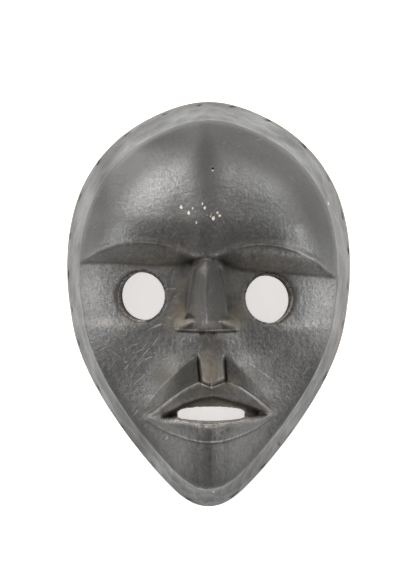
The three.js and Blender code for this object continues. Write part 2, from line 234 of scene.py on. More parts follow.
# The studio: the room's light from the side and from above, and the softboxes, each with its
# name, angle round the mask, angle over the table, width, height, and its share of a setting.
ROOM_LIGHT = (0.095, 0.155)
SOFTBOX_DISTANCE = 1.4
SOFTBOXES = [
    ("left_softbox", 127, 27, 0.46, 1.35, "left_power", 1.0),
    ("right_softbox", 52, 27, 0.6, 0.9, "right_power", 1.0),
    ("left_fill", 184, 30, 0.7, 0.5, "fill", 1.0),
    ("right_fill", 358, 32, 0.7, 0.55, "fill", 1.0),
    ("left_low", 220, 12, 0.5, 0.3, "fill", 0.2),
    ("right_low", 321, 13, 0.5, 0.3, "fill", 0.3),
]
TABLE_HALF = 3.0


def metres(name, description, default, low):
    return FloatProperty(
        name=name, description=description, default=default, min=low, unit="LENGTH")


def watts(name, description, default):
    return FloatProperty(name=name, description=description + " in watts", default=default, min=0)


def factor(name, description, default):
    return FloatProperty(
        name=name, description=description, default=default, min=0, max=1, subtype="FACTOR")


def tint(name, description, default):
    return FloatVectorProperty(
        name=name, description=description, default=default, min=0, max=1, size=3, subtype="COLOR")


class MaskSizes(bpy.types.PropertyGroup):
    rim_thickness: metres("Rim Thickness", "Width of the flat rim", 0.007, 0.002)
    face_thickness: metres(
        "Face Thickness", "Wood left between the face and the hollow", 0.008, 0.002)
    eye_hole: metres("Eye Hole", "Diameter of the round eyes", 0.0275, 0.005)
    tie_hole: metres("Tie Hole", "Diameter of the small holes round the rim", 0.003, 0.001)
    tie_hole_height: metres(
        "Tie Hole Height", "Height of the small holes above the rim", 0.007, 0.002)
    tool_marks: metres("Tool Marks", "Depth of the cuts left on the side wall", 0.0011, 0.0)
    front_cells: IntProperty(
        name="Front Cells", description="Cells of the front across the mask", default=268, min=40,
        max=400)
    back_cells: IntProperty(
        name="Back Cells", description="Cells of the hollow across the mask", default=96, min=20,
        max=200)


class MaskFinish(bpy.types.PropertyGroup):
    wood: tint("Wood", "Colour of the polished face", (0.027, 0.0271, 0.0273))
    # Paler than the face: greyer tooled wood, with a painted reflection of the pale surroundings.
    wall: tint("Side Wall", "Colour of the tooled side wall", (0.125, 0.125, 0.1252))
    warm: tint("Rubbed Wood", "Brown of the rubbed places", (0.115, 0.095, 0.062))
    # This colour also paints the painted highlights and painted light of the face.
    worn: tint("Worn Edge", "Colour of worn edges", (0.30, 0.27, 0.24))
    dirt_and_shade: tint("Grime", "Colour of the dirt in the corners", (0.018, 0.015, 0.013))
    # This colour paints both dirt and painted shade in creases, hollows and under edges.
    inside: tint("Hollow", "Colour of the bare wood of the hollow", (0.17, 0.115, 0.072))
    fleck: tint("Flecks", "Colour of the remains of white clay", (0.44, 0.385, 0.32))
    face_roughness: factor("Face Roughness", "Roughness of the polished face", 0.33)
    wall_roughness: factor("Wall Roughness", "Roughness of the tooled side wall", 0.58)


class StageSettings(bpy.types.PropertyGroup):
    camera_height: metres("Camera Height", "Height of the camera over the floor", 1.6, 0.3)
    camera_x: metres("Camera X", "Where the camera looks, left to right", -0.0021, -TABLE_HALF)
    camera_y: metres("Camera Y", "Where the camera looks, up and down", 0.0139, -TABLE_HALF)
    lens: FloatProperty(
        name="Lens", description="Focal length in millimetres", default=173.7, min=10)
    left_power: watts("Left Softbox", "Power of the left softbox", 30.0)
    right_power: watts("Right Softbox", "Power of the right softbox", 12.5)
    fill: watts("Fill", "Power of the weaker softboxes round the mask", 14.0)
    glow: FloatProperty(
        name="Floor Glow", description="Light that the table gives by itself", default=0.62,
        min=0)


def along(points, x):
    """Straight lines through a row of points."""
    rising = sorted(points)
    return np.interp(x, [p[0] for p in rising], [p[1] for p in rising])


def ease(value):
    value = np.clip(value, 0, 1)
    return value * value * (3 - 2 * value)


def mix(a, b, share):
    return a + (b - a) * share


def over(a, b, soft):
    """The higher of two surfaces, with a crease of the given softness."""
    share = np.clip(0.5 + 0.5 * (a - b) / soft, 0, 1)
    return mix(b, a, share) + soft * share * (1 - share)


def under(a, b, soft):
    """The lower of two surfaces, with a crease of the given softness."""
    return -over(-a, -b, soft)


def past(value):
    return np.maximum(value, 0)


def bump(x, y, at, wide, tall=None):
    """A soft round hill of height 1."""
    return np.exp(-((x - at[0]) / wide) ** 2 - ((y - at[1]) / (tall or wide)) ** 2)


def patches(places, x, y):
    """The sum of some soft patches."""
    return sum(strength * bump(x, y, at, wide, tall) for at, strength, wide, tall in places)


def strongest(places, x, y):
    """The strongest of some soft patches at each point."""
    return np.maximum.reduce([patches([place], x, y) for place in places])


def inside(points, x, y):
    """How deep a point is inside a convex outline that runs anticlockwise."""
    depth = np.full(np.shape(x), 1e9)
    for (x0, y0), (x1, y1) in zip(points, points[1:] + points[:1]):
        length = math.hypot(x1 - x0, y1 - y0)
        depth = np.minimum(depth, ((x1 - x0) * (y - y0) - (y1 - y0) * (x - x0)) / length)
    return depth


def curve(points, x):
    """A smooth curve through a row of points, straight past its ends."""
    rising = sorted(points)
    xs = np.array([p[0] for p in rising], float)
    ys = np.array([p[1] for p in rising], float)
    before = np.maximum(np.arange(len(xs)) - 1, 0)
    after = np.minimum(np.arange(len(xs)) + 1, len(xs) - 1)
    slope = (ys[after] - ys[before]) / (xs[after] - xs[before])
    i = np.clip(np.searchsorted(xs, x, side="left") - 1, 0, len(xs) - 2)
    step = xs[i + 1] - xs[i]
    rise = ys[i + 1] - ys[i]
    s = np.clip((x - xs[i]) / step, 0, 1)
    leave = slope[i] * step - rise
    arrive = slope[i + 1] * step - rise
    return ys[i] + rise * s + s * (1 - s) * ((1 - s) * leave - s * arrive)


def fullness(t):
    """How full the egg is beside an ellipse, from the chin (-1) to the crown (1)."""
    return curve(FULLNESS, t)


def outline(angle):
    t = np.sin(angle)
    return DRAWN[0] / 2 * fullness(t) * np.cos(angle), DRAWN[1] / 2 * t


def to_crest(x, y):
    """How far a point is on the way from the middle (0) to the crest (1)."""
    up = 2 * y / DRAWN[1]
    full = np.ones(np.shape(x))
    for _ in range(12):
        side = 2 * x / (DRAWN[0] * full)
        full = fullness(np.sin(np.arctan2(up, side)))
    return np.hypot(side, up) / (1 - CREST_INSET)


def brow_share(brow, x):
    return np.clip((x - brow["inner"][0]) / (brow["outer"][0] - brow["inner"][0]), 0, 1)


def brow_line(x):
    lines = []
    for brow in (LEFT_BROW, RIGHT_BROW):
        t = brow_share(brow, x)
        lines.append(mix(brow["inner"][1], brow["outer"][1], t) + brow["arch"] * 4 * t * (1 - t))
    return np.where(x < 0, lines[0], lines[1])


def forehead(x, y):
    share = 1 - to_crest(x, y) ** 4
    tuck = FOREHEAD_TUCK * ease((50 - y) / 24) * np.clip(share * 4, 0, 1)
    wide = mix(8, 14, np.clip((y - 40) / 50, 0, 1))
    middle = FOREHEAD_RIDGE * np.exp(-((x + 2) / wide) ** 2)
    return CREST + share * (FOREHEAD_RISE - 1 - tuck + middle)


def lower_face(x, y):
    """The eye plane, and below the cheek line the cheeks, muzzle and chin."""
    share = to_crest(x, y)
    plane_rise = mix(CHEEK_RISE, EYE_PLANE_RISE, (y - CHEEK_LINE_Y) / (22 - CHEEK_LINE_Y))
    plane = CREST + plane_rise * (1 - share ** 2.5)
    down = ease((CHEEK_LINE_Y - y) / MUZZLE_LENGTH)
    roundness = mix(2.5, 3.4 - 1.2 * np.clip(np.abs(x) / 35, 0, 1), down)
    rise = CHEEK_RISE + MUZZLE_RISE * down * np.exp(-(x / 42) ** 2)
    cheeks = CREST + rise * (1 - share ** roundness)
    middle = CHIN_RIDGE * down * (8 - np.hypot(x, 7)) * (1 - np.minimum(share, 1) ** 2)
    return np.where(y >= CHEEK_LINE_Y, plane, cheeks + middle)


def lip_height(x, flat=0):
    """The lips are swept back from a middle that may be flat."""
    side = past(np.abs(x - LIP_MIDDLE) - flat) / (LIP_HALF - flat)
    return LIP_RISE - LIP_SWEEP * side ** 1.5


def brows(x, y):
    """Forehead with its raised brow line and the slope under it."""
    line = brow_line(x)
    fade = np.zeros(np.shape(x))
    for brow, side in ((LEFT_BROW, x < -6), (RIGHT_BROW, x > 2)):
        t = brow_share(brow, x)
        fade = np.where(side, ease(t / 0.12) * ease((1 - t) / 0.12), fade)
    top = forehead(x, y) + fade * 0.6 * np.exp(-((y - line - 1) / 1.6) ** 2)
    low = along(UNDER_BROW, x)
    high = np.maximum(line, low + 1.2)
    foot = lower_face(x, low)
    steep = np.maximum(1, (forehead(x, high) - foot) / (high - low))
    return under(top, foot + steep * (y - low), 1.3 + 6 * bump(x, y, (-2, 27), 8, 9))


def nose(x, y):
    """A sharp bridge, two wings with a rolled lower edge, and the drop under them."""
    plane = lower_face(x, y)
    way = (26 - y) / 36
    ridge_x = -1.5 + 0.5 * way
    ridge = np.minimum(67 + 20 * way, 87) - NOSE_TIP_ROUNDING * past(-9 - y) ** 2
    left_foot = np.interp(y, [-2, 25], [-12, -6.2])
    right_foot = np.interp(y, [0, 20], [10.2, 5.6])
    foot = np.where(x < ridge_x, ridge_x - left_foot, right_foot - ridge_x)
    bridge = ridge - np.maximum(ridge - 59.5, 6) / foot * past(np.abs(x - ridge_x) - 0.2)
    side = np.abs(x + 0.9)
    wing = 59.8 + 20 * past(1 - side / 20.5) ** 1.1 + 0.6 * np.exp(-((y + 11.6) / 2.2) ** 2)
    rise = np.maximum(inside(LEFT_WING, x, y), inside(RIGHT_WING, x, y))
    wing = under(wing, plane - 0.5 + 1.7 * rise, 0.8)
    shape = over(bridge, wing, 0.5)
    for notch, deep in zip(NOSTRILS, (3.6, 2.0)):
        shape = shape - deep * ease(inside(notch, x, y) / 1.7)
    drop = 78.5 + 24 * (y - nose_base(x))
    return under(shape, drop, 0.5)


def nose_base(x):
    """The curved lower edge of the nose."""
    return NOSE_BASE_Y - NOSE_BASE_SAG * (1 - (x / 20) ** 2)


def mouth(x, y, base):
    """The groove of the upper lip between its sunken planes, the lips and the mouth."""
    lip = lip_height(x)
    roof = curve(UPPER_LIP_UNDER, x)
    sill = curve(LOWER_LIP_OVER, x)
    edge = along(UPPER_LIP_OVER, x)
    hem = curve(LOWER_LIP_UNDER, x)
    # The groove stands up like a little roof, and ends in a point over the lip.
    middle = np.abs(x - PHILTRUM["x"]) / PHILTRUM["half"]
    base = base + PHILTRUM["roof"] * past(1 - middle) * ease((-29 - y) / 9)
    end = PHILTRUM["end"] - PHILTRUM["point"] * past(1 - middle)
    base = base - 5 * ease((end - y) / 0.9) * (middle < 1.15) * (y > -56)
    # The planes on both sides sink towards the upper edge of the lip.
    lip_edge = lip - LIP_SLOPE * (edge - roof) - 0.8
    for line, wall, sign in ((LEFT_RECESS, (-4.6, -6), 1), (RIGHT_RECESS, (9.9, 8.8), -1)):
        outer = curve(line, x)
        share = np.clip((outer - y) / np.maximum(outer - edge, 1), 0, 1)
        plane = mix(lower_face(x, outer), lip_edge, share) + 3 * past(y - outer)
        side = sign * (x - np.interp(y, PHILTRUM_Y, wall))
        plane = plane + 4 * past(side) + 3 * past(np.abs(x) - LIP_HALF + 1)
        plane = plane + np.where(y > sill, 0, 50)
        base = under(base, plane, 0.4)
        base = base - 1.6 * np.exp(-((side - 0.3) / 0.8) ** 4) * ease((-29 - y) / 3) * (y > edge)
    # The opening lies deep between the lips.
    covered = (y > sill) & (y < edge - 0.8) & (np.abs(x - LIP_MIDDLE) < LIP_HALF - 1.5)
    base = np.where(covered, lip - 4, base)
    beside = past(np.abs(x - LIP_MIDDLE) - LIP_HALF + 2)
    hole_sill = sill + 2.4 * ease((24 - np.abs(x - 1.4)) / 6)
    cavity = lip - MOUTH_DEPTH + 5 * past(y - roof) + 6 * past(hole_sill - y)
    base = under(base, cavity + 2 * past(np.abs(x - 3) - 26), 0.5)
    upper = lip - LIP_SLOPE * (y - roof) - 3 * past(y - edge) - 5 * past(roof - y) - 3 * beside
    base = over(base, upper, 0.3)
    # The lower lip has a bevelled upper edge and a flat middle, and slopes down to a hem.
    top = lip_height(x, LIP_FLAT) + LOWER_LIP_RISE
    hem_top = lower_face(x, hem) + 1.1
    share = (sill - y) / np.maximum(sill - hem, 1)
    lower = mix(top, hem_top, np.clip(share, 0, 1.3)) - 1.1 * past(y - sill)
    lower = lower - 5 * past(y - hole_sill) - 2.5 * past(hem - y) - 3 * beside
    lower = lower - 0.35 * np.exp(-((x + 1) / 4.2) ** 6) * ease((-68.5 - y) / 2)
    return over(base, lower, 0.5)


def face(x, y):
    """Height of the face at a point inside the crest."""
    height = over(brows(x, y), lower_face(x, y) + 4.5 * bump(x, y, (0.5, -16), 15, 9), 1.2)
    height = over(height, nose(x, y), mix(3.6, 0.7, ease((5 - y) / 8)))
    near = (y < -22) & (np.abs(x) < 48)
    height[near] = mouth(x[near], y[near], height[near])
    return height


def fine_face(x, y, reach=0.3):
    """The face averaged over a spot as wide as a cell, so that no crease is toothed."""
    steps = (-reach, 0, reach)
    return sum(face(x + dx, y + dy) for dx in steps for dy in steps) / len(steps) ** 2


def concentric(a, b):
    """A square grid as rings: the share of the way out, and the angle."""
    out = np.maximum(np.abs(a), np.abs(b))
    wide = np.abs(a) >= np.abs(b)
    across = np.where(np.abs(a) > 1e-9, a, 1)
    upright = np.where(np.abs(b) > 1e-9, b, 1)
    flat = math.pi / 4 * b / across + np.where(a < 0, math.pi, 0)
    steep = math.pi / 2 - math.pi / 4 * a / upright + np.where(b < 0, math.pi, 0)
    return out, np.where(wide, flat, steep)


def scallops(u, v, wide, tall, seed):
    """Shallow cuts of a blade side by side, 0 in the middle of each cut and 1 between them."""
    rng = np.random.default_rng(seed)
    best = np.full(np.shape(u), 1e9)
    columns = np.arange(math.floor(u.min() / wide) - 1, math.ceil(u.max() / wide) + 2)
    rows = np.arange(math.floor(v.min() / tall) - 1, math.ceil(v.max() / tall) + 2)
    for i in columns:
        for j in rows:
            du, dv = rng.uniform(-0.3, 0.3, 2)
            deep = rng.uniform(0, 0.35)
            d = ((u / wide - i - du) ** 2 + (v / tall - j - dv) ** 2) * 2 + deep
            best = np.minimum(best, d)
    return np.clip(best, 0, 1.2)


def grid_mesh(bm, cells):
    """A flat grid, with its corners as two arrays from -1 to 1."""
    made = bmesh.ops.create_grid(bm, x_segments=cells, y_segments=cells, size=1)
    verts = made["verts"]
    places = np.array([v.co for v in verts])
    return verts, places[:, 0], places[:, 1]


def move(verts, x, y, z):
    for v, place in zip(verts, np.stack([x, y, z], axis=1).tolist()):
        v.co = place


def ripple(x, y, z, size, seed):
    """Soft unevenness of the hand, about -1 to 1."""
    shift = Vector((seed * 7.1, seed * 3.3, seed * 5.7))
    places = np.stack([x, y, z], axis=1).tolist()
    return np.array([noise.noise(Vector(place) / size + shift) for place in places])


def front_surface(bm, sizes):
    """The side wall and the face, as one grid bent over the egg."""
    cells = sizes.front_cells
    verts, a, b = grid_mesh(bm, cells)
    out, angle = concentric(a, b)
    ring = np.rint(out * cells / 2)
    last = cells // 2
    on_face = out <= FACE_SHARE
    # Inside the crest, drawn together round the nose and mouth, where the carving is finest.
    share = np.where(on_face, out / FACE_SHARE, 1) * (1 - CREST_INSET)
    egg_x, egg_y = outline(angle)
    x, y = egg_x * share, egg_y * share
    hold = 1 - np.clip(out / FACE_SHARE, 0, 1) ** 4
    for cx, cy, wide, pull in GRID_PULLS:
        near = pull * hold * np.exp(-((x - cx) ** 2 + (y - cy) ** 2) / (2 * wide ** 2))
        x, y = x - near * (x - cx), y - near * (y - cy)
    # The rows bend along the lower edge of the nose.
    bend = NOSE_BASE_SAG * past(1 - (x / 20) ** 2) * np.exp(-((y - NOSE_BASE_Y) / 5) ** 2)
    y = y - bend
    z = np.full(np.shape(x), CREST)
    z[on_face] = fine_face(x[on_face], y[on_face])
    # Outside it, down the side wall to the rim, whose corner is rubbed round.
    down = np.clip((out - FACE_SHARE) / (1 - FACE_SHARE), 0, 1)
    wall_z = np.select([ring == last, ring == last - 1], [0, RIM_CORNER], CREST * (1 - down))
    wall_share = 1 - CREST_INSET * (wall_z / CREST) ** WALL_LEAN
    for at, inset in zip((last - 1, last), RIM_INSETS):
        wall_share = wall_share - inset * (ring == at)
    round_way = angle * 100
    cut = scallops(round_way, wall_z + 6 * np.sin(angle * 9), *WALL_CUT, 4)
    cut = cut * (1 - ease((4 - wall_z) / 4)) * (1 - 0.6 * ease((wall_z - 36) / 6))
    wall_share = wall_share - (1 - cut) * sizes.tool_marks * 1000 / 100 * (ring < last - 1)
    wall = ~on_face
    x[wall] = (egg_x * wall_share)[wall]
    y[wall] = (egg_y * wall_share)[wall]
    z[wall] = wall_z[wall]
    # The eyes have rubbed edges.
    for eye in EYES:
        away = np.hypot(x - eye["at"][0], y - eye["at"][1]) - sizes.eye_hole * 500
        z = z - EYE_RUBBING * on_face * ease((1.6 - away) / 2.4)
    uneven = 0.35 * ripple(x, y, z, 19, 1) + 0.16 * ripple(x, y, z, 8, 2)
    z = np.where(on_face, z + uneven * np.clip(hold * 3, 0, 1), z)
    move(verts, x, y, z)
    reach = CREST_SMOOTHING / (cells / 2)
    crest = [v for v, o in zip(verts, out) if abs(o - FACE_SHARE) < reach]
    bmesh.ops.smooth_vert(bm, verts=crest, factor=0.5, use_axis_x=True, use_axis_y=True,
                          use_axis_z=True)


def back_surface(bm, sizes):
    """The hollow, as one grid bent under the face."""
    verts, a, b = grid_mesh(bm, sizes.back_cells)
    out, angle = concentric(a, b)
    share = 1 - (1 - out) ** 1.6
    rim = sizes.rim_thickness * 1000
    egg_x, egg_y = outline(angle)
    x = egg_x * share * (1 - 2 * rim / DRAWN[0] / SCALE[0] / 1000)
    y = egg_y * share * (1 - 2 * rim / DRAWN[1] / SCALE[1] / 1000)
    lining = CREST + (along(LINING, y) - CREST) * (1 - np.clip(to_crest(x, y), 0, 1) ** 2)
    z = (lining - sizes.face_thickness * 1000) * np.sqrt(1 - share ** 8)
    cut = scallops(x + 4 * np.sin(y / 17), y, *HOLLOW_CUT, 9)
    z = z + cut * HOLLOW_CUT_DEPTH * (out < 0.98) * ease(z / 12)
    move(verts, x, y, z)
    bmesh.ops.reverse_faces(bm, faces=list({f for v in verts for f in v.link_faces}))


def drill(bm, point, direction, diameter, length, sides):
    """A round tool through a point in millimetres."""
    turn = Vector((0, 0, 1)).rotation_difference(Vector(direction)).to_matrix().to_4x4()
    bmesh.ops.create_cone(
        bm, cap_ends=True, cap_tris=False, segments=sides, radius1=diameter / 2,
        radius2=diameter / 2, depth=length, matrix=Matrix.Translation(point) @ turn)


def mouth_tool(bm):
    """The opening of the mouth: an almond with small nicks along its upper edge."""
    hole = MOUTH_HOLE
    steps = 48
    upper, lower = [], []
    nicks = ((0.14, 0.5), (0.29, 0.45), (0.62, 0.4), (0.82, 0.5))
    for i in range(steps + 1):
        u = i / steps
        bow = 4 * u * (1 - u)
        x = mix(hole["left"], hole["right"], u)
        round_end = 1.3 * (1 - min(1, 12 * min(u, 1 - u))) ** 2
        nick = sum(deep * math.exp(-((u - at) / 0.008) ** 2) for at, deep in nicks)
        rough = 0.12 * noise.noise(Vector((x / 2.1, 3.0, 0.0)))
        upper.append((x, hole["top"] + hole["arch"] * bow - round_end + nick + rough))
        lower.append((x, hole["bottom"] - hole["sag"] * bow + 0.4 * round_end + rough))
    corners = [bm.verts.new((x, y, 20)) for x, y in lower + upper[::-1]]
    floor = bm.faces.new(corners)
    grown = bmesh.ops.extrude_face_region(bm, geom=[floor])
    lifted = [g for g in grown["geom"] if isinstance(g, bmesh.types.BMVert)]
    bmesh.ops.translate(bm, verts=lifted, vec=(0, 0, 80))
    bmesh.ops.recalc_face_normals(bm, faces=bm.faces)


def new_object(name, bm):
    mesh = bpy.data.meshes.new(name)
    bm.to_mesh(mesh)
    bm.free()
    piece = bpy.data.objects.new(name, mesh)
    bpy.context.scene.collection.objects.link(piece)
    return piece


def cut_holes(piece, sizes):
    """The eyes, the mouth and the small holes, cut through the closed mask."""
    bm = bmesh.new()
    mouth_tool(bm)
    for eye in EYES:
        x, y = eye["at"]
        z = float(lower_face(np.array([x]), np.array([y]))[0])
        drill(bm, (x, y, z), (*eye["lean"], 1), sizes.eye_hole * 1000, TOOL_LENGTHS["eye"], 72)
    for degrees in TIE_HOLE_ANGLES:
        angle = math.radians(degrees)
        x, y = (float(value) for value in outline(angle))
        next_x, next_y = (float(value) for value in outline(angle + 0.01))
        inset = 1 - sizes.rim_thickness * 1000 / DRAWN[0]
        middle = (x * inset, y * inset, sizes.tie_hole_height * 1000)
        drill(bm, middle, (next_y - y, x - next_x, 0), sizes.tie_hole * 1000,
              TOOL_LENGTHS["tie_hole"], 16)
    nail = NAIL_HOLE
    drill(bm, nail["at"], nail["lean"], nail["wide"], nail["long"], 12)
    tool = new_object("tool", bm)
    cut = piece.modifiers.new("Holes", "BOOLEAN")
    cut.object = tool
    cut.operation = "DIFFERENCE"
    cut.solver = "MANIFOLD"
    depsgraph = bpy.context.evaluated_depsgraph_get()
    cut_mesh = bpy.data.meshes.new_from_object(piece.evaluated_get(depsgraph))
    piece.modifiers.clear()
    whole = piece.data
    piece.data = cut_mesh
    cut_mesh.name = "mask_carving"
    bpy.data.meshes.remove(whole)
    bpy.data.objects.remove(tool)


def neighbour_mean(values, edges, count):
    """Each vertex's mean of its neighbours' values."""
    total = np.zeros(values.shape)
    np.add.at(total, edges[:, 0], values[edges[:, 1]])
    np.add.at(total, edges[:, 1], values[edges[:, 0]])
    return total / (count if values.ndim == 1 else count[:, None])


def store(mesh, name, values):
    layer = mesh.attributes.new(name, "FLOAT", "POINT")
    layer.data.foreach_set("value", np.clip(values, 0, 1).astype(np.float32))


def nearest(lines):
    """Distance to the nearest of some lines, below 0 on one side, and the strength of that line."""
    away = np.full(np.shape(lines[0][0]), 9.0)
    strength = np.zeros(away.shape)
    for distance, value in lines:
        closer = (value > 0.01) & (np.abs(distance) < np.abs(away))
        strength = np.where(closer, value, strength)
        away = np.where(closer, distance, away)
    return away, np.where(np.abs(away) < LINE_REACH, strength, 0)


def scratch(x, y, start, end):
    """Distance to a straight scratch, and how much of it there is beside a point."""
    (x0, y0), (x1, y1) = start, end
    length = math.hypot(x1 - x0, y1 - y0)
    way = ((x - x0) * (x1 - x0) + (y - y0) * (y1 - y0)) / length
    away = ((x - x0) * (y1 - y0) - (y - y0) * (x1 - x0)) / length
    return away, ease(way / 0.8) * ease((length - way) / 0.8)


def lit_and_shaded_lines(x, y):
    """Lines painted light along the face's edges, painted highlights with some rubbing, and
    scratches, and lines painted dark, painted shade in creases and under edges with a little dirt.
    """
    lips = ease((LIP_HALF - np.abs(x - LIP_MIDDLE)) / 4)
    upright = ease((-28.5 - y) / 4) * ease((y + 46.5) / 1.5)
    across = ease((19.5 - np.abs(x + 0.9)) / 3)
    roof, edge = curve(UPPER_LIP_UNDER, x), along(UPPER_LIP_OVER, x)
    sill, hem = curve(LOWER_LIP_OVER, x), curve(LOWER_LIP_UNDER, x)
    # Painted highlights along edges that catch the light, with some rubbing: hem, lip edge, sill,
    # brow, nose base.
    rubbed = [
        (y - hem - 0.3, (0.25 + 0.75 * bump(x, y, (3, -77), 20, 20)) * lips),
        (y - edge + 0.2, 0.3 * lips + 1.0 * bump(x, y, (1.4, -45), 7)),
        (y - sill - 0.5, 0.6 * ease((31 - np.abs(x - 2)) / 8)),
        (y - brow_line(x) - 0.6, 0.3 * ease((np.abs(x + 2) - 12) / 12) * (np.abs(x) < 72)),
        (y - nose_base(x) - 0.4, 0.5 * across + 0.4 * bump(x, y, (2.5, -14), 3)),
    ]
    for start, end, strength in SCRATCHES:
        away, here = scratch(x, y, start, end)
        rubbed.append((away, strength * here))
    # Painted shade in creases and under edges: above and under the upper lip, under the hem, the
    # nose and the brows.
    shade_and_dirt_lines = [
        (y - edge - 0.9, 0.7 * lips),
        (y - roof + 0.6, 0.6 * lips * ease((30 - np.abs(x - 3)) / 6)),
        (y - hem + 0.9, 0.5 * lips),
        (y - nose_base(x) + 0.9, 0.9 * across),
        (y - along(UNDER_BROW, x) - 0.5, 0.35 * (np.abs(x) < 72)),
    ]
    # Sunken planes: a painted highlight on their outer edge, painted shade inside it and along the
    # groove's walls.
    for line, wall, here in ((LEFT_RECESS, (-4.4, -5.8), x < -6),
                             (RIGHT_RECESS, (9.7, 8.6), x > 9)):
        slant = 0.75 * (y - curve(line, x))
        rubbed.append((slant - 0.2, np.where(x < 0, 0.3, 0.1) * here * lips))
        shade_and_dirt_lines.append((slant + 0.8, 0.4 * here * lips))
        shade_and_dirt_lines.append((x - np.interp(y, PHILTRUM_Y, wall), 1.0 * upright))
    # Darker along the feet of the nose.
    for foot in (np.interp(y, [-2, 25], [-13.2, -8.4]), np.interp(y, [0, 20], [11.2, 7.8])):
        shade_and_dirt_lines.append((x - foot, 0.5 * ease((25 - y) / 8) * ease((y + 4) / 3)))
    # Darker along the ridge of the nose.
    shade_and_dirt_lines.append((x + 1.5 - 0.014 * (26 - y), 0.75 * ease((27 - y) / 4) * ease((y + 7) / 4)))
    # Painted shade in the nostril notches.
    for notch, strength in zip(NOSTRILS, (0.9, 0.4)):
        shade_and_dirt_lines.append((past(0.8 - inside(notch, x, y)), strength * (inside(notch, x, y) > -1)))
    return nearest(rubbed), nearest(shade_and_dirt_lines)


def surface(mesh):
    """Places, normals, and how far each vertex stands out of its neighbours, near and wide."""
    total = len(mesh.vertices)
    place, normal = np.empty(total * 3), np.empty(total * 3)
    mesh.vertices.foreach_get("co", place)
    mesh.vertices.foreach_get("normal", normal)
    place, normal = place.reshape(-1, 3), normal.reshape(-1, 3)
    edges = np.empty(len(mesh.edges) * 2, dtype=np.int64)
    mesh.edges.foreach_get("vertices", edges)
    edges = edges.reshape(-1, 2)
    count = np.maximum(np.bincount(edges.ravel(), minlength=total), 1)
    bend = ((place - neighbour_mean(place, edges, count)) * normal).sum(axis=1)
    for _ in range(2):
        bend = 0.5 * bend + 0.5 * neighbour_mean(bend, edges, count)
    wide = bend.copy()
    for _ in range(8):
        wide = 0.4 * wide + 0.6 * neighbour_mean(wide, edges, count)
    return place, normal, bend, wide


def worn_and_lit_mask(x, y, bend, inner, wall):
    """Edges that stand out, painted light with some rubbing, painted light on the cheeks and under
    the brows, painted highlights and pale places of the face, and pale places of the wall.
    """
    # Edges that stand out are painted light: painted highlights, with some rubbing.
    wear_and_painted_light = past(bend - 0.03) * 1.6 * inner * (1 - 0.9 * bump(x, y, (-1, 10), 8, 16))
    # The corners and the right edge of the lips are less rubbed and get less painted highlight.
    wear_and_painted_light = wear_and_painted_light * (1 - 0.9 * bump(np.abs(x - LIP_MIDDLE), y, (LIP_HALF, -64), 13, 6))
    wear_and_painted_light = wear_and_painted_light * (1 - 0.6 * bump(x, y, (24, -53), 14, 7))
    # Painted light on the cheeks, less near the mouth.
    cheeks = ease((-14 - y) / 6) * inner * (1 - 0.8 * bump(x, y, (0, -50), 34, 18))
    # Painted light on the slope under the brows.
    slope = ease((brow_line(x) - y) / 2) * ease((y - along(UNDER_BROW, x)) / 2)
    slope = slope * ease((np.abs(x + 2) - 8) / 12) * (np.abs(x) < 72)
    # Painted highlights and pale places of the face, and pale places of the wall.
    pale = patches(PAINTED_HIGHLIGHTS_AND_PALE, x, y) + wall * patches(PALE_WALL, x, y)
    return wear_and_painted_light + 0.07 * cheeks + 0.13 * slope + pale


def dirt_and_shade_mask(x, y, z, wide, crest):
    """Dirt and painted shade: hollow corners, the walls of the holes, a strip inside the upper
    crest, the sunken planes beside the lip, and darker places of the face and near the outline.
    """
    # Hollow corners are darker: dirt, with painted shade.
    dirt_and_shade = [past(-wide - 0.012) * 6]
    # The walls of the eyes and a narrow ring round them are darker.
    for eye in EYES:
        lean = np.array(eye["lean"]) * (z[:, None] - EYE_PLANE_Z)
        away = np.hypot(x - eye["at"][0] - lean[:, 0], y - eye["at"][1] - lean[:, 1])
        dirt_and_shade.append(0.9 * (away < EYE_REACH) * (z > 36))
    # Painted shade in a strip inside the crest of the upper face.
    crest_shade = ease((crest - 0.72) / 0.15) * ease((0.99 - crest) / 0.04)
    dirt_and_shade.append(0.4 * crest_shade * ease((y - 20) / 25))
    edge = along(UPPER_LIP_OVER, x)
    # Painted shade on the sunken planes beside the lip.
    for line, here in ((LEFT_RECESS, x < -5.5), (RIGHT_RECESS, x > 9.5)):
        sunken = ease((curve(line, x) - y) / 1.2) * ease((y - edge - 0.3) / 1.2) * here
        dirt_and_shade.append(0.35 * sunken * (np.abs(x) < LIP_HALF))
    # Painted shade on the face, which is also duller there.
    dirt_and_shade.append(strongest(PAINTED_SHADE, x, y) * ease((0.99 - crest) / 0.03))
    # Darker and duller along the feet of the nose.
    for foot in (np.interp(y, [-4, 25], [-12, -7]), np.interp(y, [-4, 20], [11.6, 6.6])):
        beside_nose = np.exp(-((x - foot) / 2) ** 2) * ease((25 - y) / 6) * ease((y + 6) / 4)
        dirt_and_shade.append(0.7 * beside_nose)
    # Darker places near the outline.
    dirt_and_shade.append(strongest(DARKER_NEAR_OUTLINE, x, y) * (crest > 0.75))
    # Darker round the small holes.
    for degrees in TIE_HOLE_ANGLES:
        hole_x, hole_y = outline(math.radians(degrees))
        away = (x - hole_x) ** 2 + (y - hole_y) ** 2 + (z - 7) ** 2
        dirt_and_shade.append(1.2 * np.exp(-away / 8))
    return np.maximum.reduce(dirt_and_shade)


